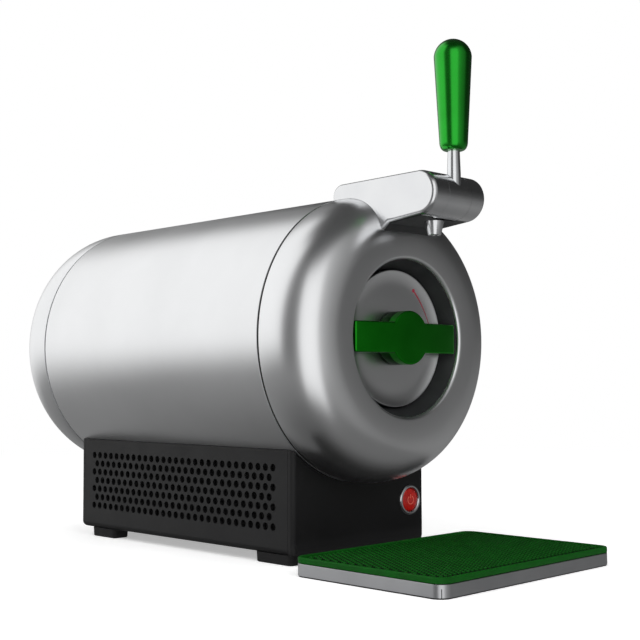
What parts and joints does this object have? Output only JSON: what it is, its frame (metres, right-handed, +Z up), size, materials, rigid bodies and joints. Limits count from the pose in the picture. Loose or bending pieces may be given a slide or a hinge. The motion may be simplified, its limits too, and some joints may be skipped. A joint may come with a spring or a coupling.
{
  "type": "countertop kegerator",
  "caption": "Cooled horizontal barrel on a vented base, with a hinged domed door that carries a lever tap and a quarter-turn lock handle, and a loose drip tray in front.",
  "frame": {"origin": "bottom centre of the whole object's box, on the surface that it stands on", "axes": "+Z up, -Y from the machine towards the person who pours, +X towards the hinge side of the door, which is the right-hand side as that person sees it"},
  "size_m": [0.244, 0.5462, 0.4275],
  "materials": {
    "satin_silver": "satin metallic silver",
    "cast_silver": "satin metallic silver on a die casting",
    "chrome": "polished",
    "steel": "plain",
    "brushed_steel": "fine brushed",
    "aluminium": "plain",
    "black_plastic": "matte moulded",
    "grey_plastic": "matte moulded",
    "rubber": "matte",
    "green_paint": "satin metallic green",
    "candy_green": "glossy candy green over metal flake",
    "green_rubber": "matte",
    "red_lens": "translucent gloss",
    "foam": "moulded foam",
    "circuit_board": "solder mask",
    "ceramic": "ceramic plate"
  },
  "bodies": {
    "cabinet": {"barrel_shell": "satin_silver", "rear_cap": "satin_silver", "mouth_ring": "black_plastic", "keg_liner": "aluminium", "insulation_sleeve": "foam", "hinge_leaf_fixed": "steel", "hinge_pin": "steel", "base_housing": "black_plastic", "base_side_left": "black_plastic", "base_side_right": "black_plastic", "foot_front_left": "rubber", "foot_front_right": "rubber", "foot_rear_left": "rubber", "foot_rear_right": "rubber", "button_bezel": "chrome", "button_switch": "grey_plastic", "power_inlet": "black_plastic", "cold_block": "aluminium", "peltier_module": "ceramic", "heat_sink": "aluminium", "fan_frame": "black_plastic", "control_board": "circuit_board", "power_supply": "grey_plastic"},
    "door": {"front_cap": "satin_silver", "lock_dish": "satin_silver", "spindle_bush": "grey_plastic", "door_liner": "grey_plastic", "door_gasket": "rubber", "door_foam": "foam", "bolt_guide": "grey_plastic", "hinge_leaf_door": "steel", "tap_body": "cast_silver", "spout": "chrome", "lever_pin": "steel"},
    "lock": {"lock_handle": "green_paint", "lock_spindle": "steel", "scroll_disc": "steel"},
    "bolt": {"latch_bolt": "steel"},
    "lever": {"lever_hub": "cast_silver", "lever_rod": "chrome", "lever_grip": "candy_green"},
    "button": {"power_button": "red_lens"},
    "fan": {"fan_impeller": "grey_plastic"},
    "tray": {"tray_pan": "black_plastic", "tray_skirt": "brushed_steel"},
    "mat": {"drip_mat": "green_rubber"}
  },
  "joints": [
    {"name": "door_hinge", "type": "hinge", "parent": "cabinet", "child": "door", "pos_m": [0.117, -0.09845, 0.186], "axis": [0, 0, 1], "range_deg": [0, 95]},
    {"name": "lock_turn", "type": "hinge", "parent": "door", "child": "lock", "pos_m": [0, -0.13845, 0.186], "axis": [0, -1, 0], "range_deg": [0, 60]},
    {"name": "bolt_slide", "type": "slide", "parent": "door", "child": "bolt", "axis": [1, 0, 0], "range_m": [0, 0.008]},
    {"name": "lever_pull", "type": "hinge", "parent": "door", "child": "lever", "pos_m": [0, -0.18895, 0.2997], "axis": [1, 0, 0], "range_deg": [0, 45]},
    {"name": "button_press", "type": "slide", "parent": "cabinet", "child": "button", "axis": [0, 1, 0], "range_m": [0, 0.002], "stiffness_N_per_m": 600},
    {"name": "fan_spin", "type": "hinge", "parent": "cabinet", "child": "fan", "pos_m": [0.045, 0.06155, 0.0368], "axis": [1, 0, 0], "continuous": true},
    {"name": "tray_slide", "type": "slide", "parent": "cabinet", "child": "tray", "axis": [0, -1, 0], "range_m": [0, 0.12]},
    {"name": "mat_lift", "type": "slide", "parent": "tray", "child": "mat", "axis": [0, 0, 1], "range_m": [0, 0.03]}
  ],
  "couplings": [
    {"joint": "bolt_slide", "follows": "lock_turn", "m_per_rad": 0.007639}
  ]
}
